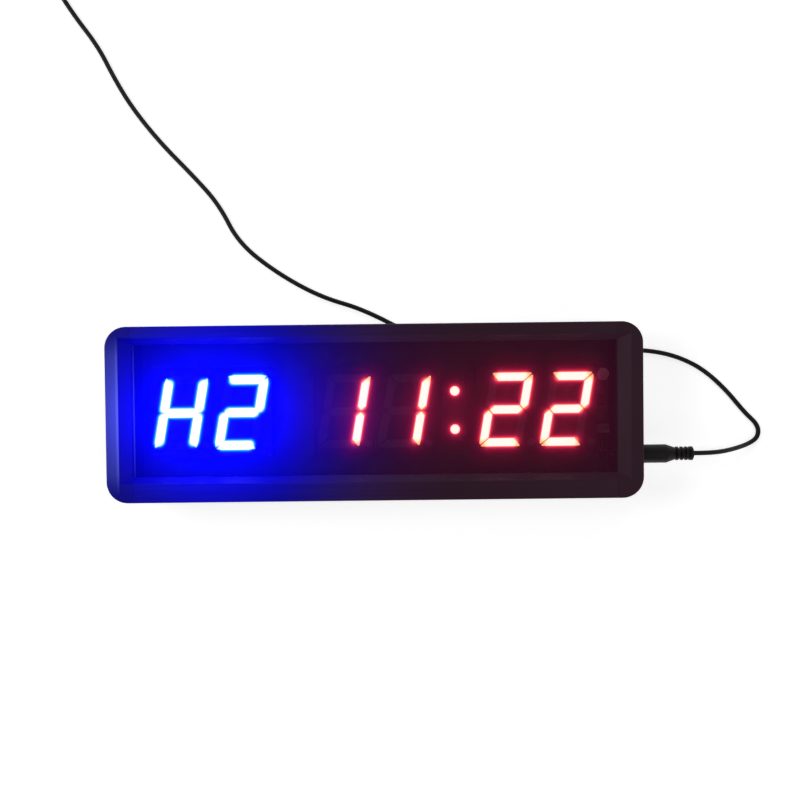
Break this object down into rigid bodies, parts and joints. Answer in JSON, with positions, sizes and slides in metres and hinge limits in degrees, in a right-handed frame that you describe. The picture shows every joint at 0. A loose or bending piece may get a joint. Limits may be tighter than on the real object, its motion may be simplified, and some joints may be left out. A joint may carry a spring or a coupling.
{
  "type": "gym round timer",
  "caption": "Flat-cased wall or bench round timer with a slanted seven-segment display behind a tinted window, in a bevelled frame, with its plug-in lead and wall adapter.",
  "frame": {"origin": "on the surface that the feet stand on, under the middle of the case", "axes": "+X along the display to the viewer's right, +Y up the display, +Z out of the display; the case lies on its back"},
  "size_m": [0.4659, 0.3775, 0.043],
  "materials": {
    "black_rail": "satin",
    "black_plastic": "satin",
    "black_steel": "satin",
    "tinted_acrylic": "gloss",
    "black_sheet": "matte",
    "rubber": "matte",
    "shell_black": "matte",
    "red_lit": "gloss",
    "blue_lit": "gloss",
    "unlit_lens": "satin",
    "tin": "satin",
    "board_green": "satin",
    "chip_black": "matte",
    "ferrite": "matte",
    "can_aluminium": "satin",
    "nickel": "polished",
    "connector_white": "satin",
    "wire_red": "satin",
    "cable_black": "satin",
    "tie_black": "matte",
    "adapter_black": "satin",
    "brass_nickel": "polished"
  },
  "bodies": {
    "case": {"top_rail": "black_rail", "bottom_rail": "black_rail", "left_end_cap": "black_plastic", "right_end_cap": "black_plastic", "right_cap_screws": "black_steel", "left_cap_screws": "black_steel", "front_panel": "tinted_acrylic", "rear_plate": "black_sheet", "rubber_feet": "rubber", "digit_1_shell": "shell_black", "digit_1_lit_segments": "blue_lit", "digit_2_shell": "shell_black", "digit_2_lit_segments": "blue_lit", "digit_3_shell": "shell_black", "digit_3_lit_segments": "red_lit", "digit_4_shell": "shell_black", "digit_4_lit_segments": "red_lit", "digit_5_shell": "shell_black", "digit_5_lit_segments": "red_lit", "digit_6_shell": "shell_black", "digit_6_lit_segments": "red_lit", "unlit_segments": "unlit_lens", "colon_shell": "shell_black", "colon_lenses": "red_lit", "display_pins": "tin", "main_board": "board_green", "controller_chip": "chip_black", "driver_chips": "chip_black", "component_legs": "tin", "clock_crystal": "tin", "cell_holder": "chip_black", "coin_cell": "tin", "buzzer": "chip_black", "power_inductor": "ferrite", "voltage_regulator": "chip_black", "smoothing_capacitor": "can_aluminium", "infrared_receiver": "chip_black", "jack_body": "chip_black", "jack_pin": "nickel", "jack_spring": "nickel", "jack_nut": "nickel", "wire_connector": "connector_white", "red_wire": "wire_red", "black_wire": "cable_black"},
    "power_lead": {"plug_overmould": "cable_black", "plug_barrel": "nickel", "plug_insulator": "chip_black", "plug_inner_contact": "nickel", "lead": "cable_black", "lead_tail": "cable_black", "lead_coil": "cable_black", "coil_tie": "tie_black", "adapter_front": "adapter_black", "adapter_back": "adapter_black", "adapter_blades": "brass_nickel", "adapter_strain_relief": "cable_black", "adapter_board": "board_green", "adapter_transformer": "ferrite"}
  },
  "joints": [
    {"name": "plug_pull", "type": "slide", "parent": "case", "child": "power_lead", "axis": [1, 0, 0], "range_m": [0, 0.0105]}
  ]
}
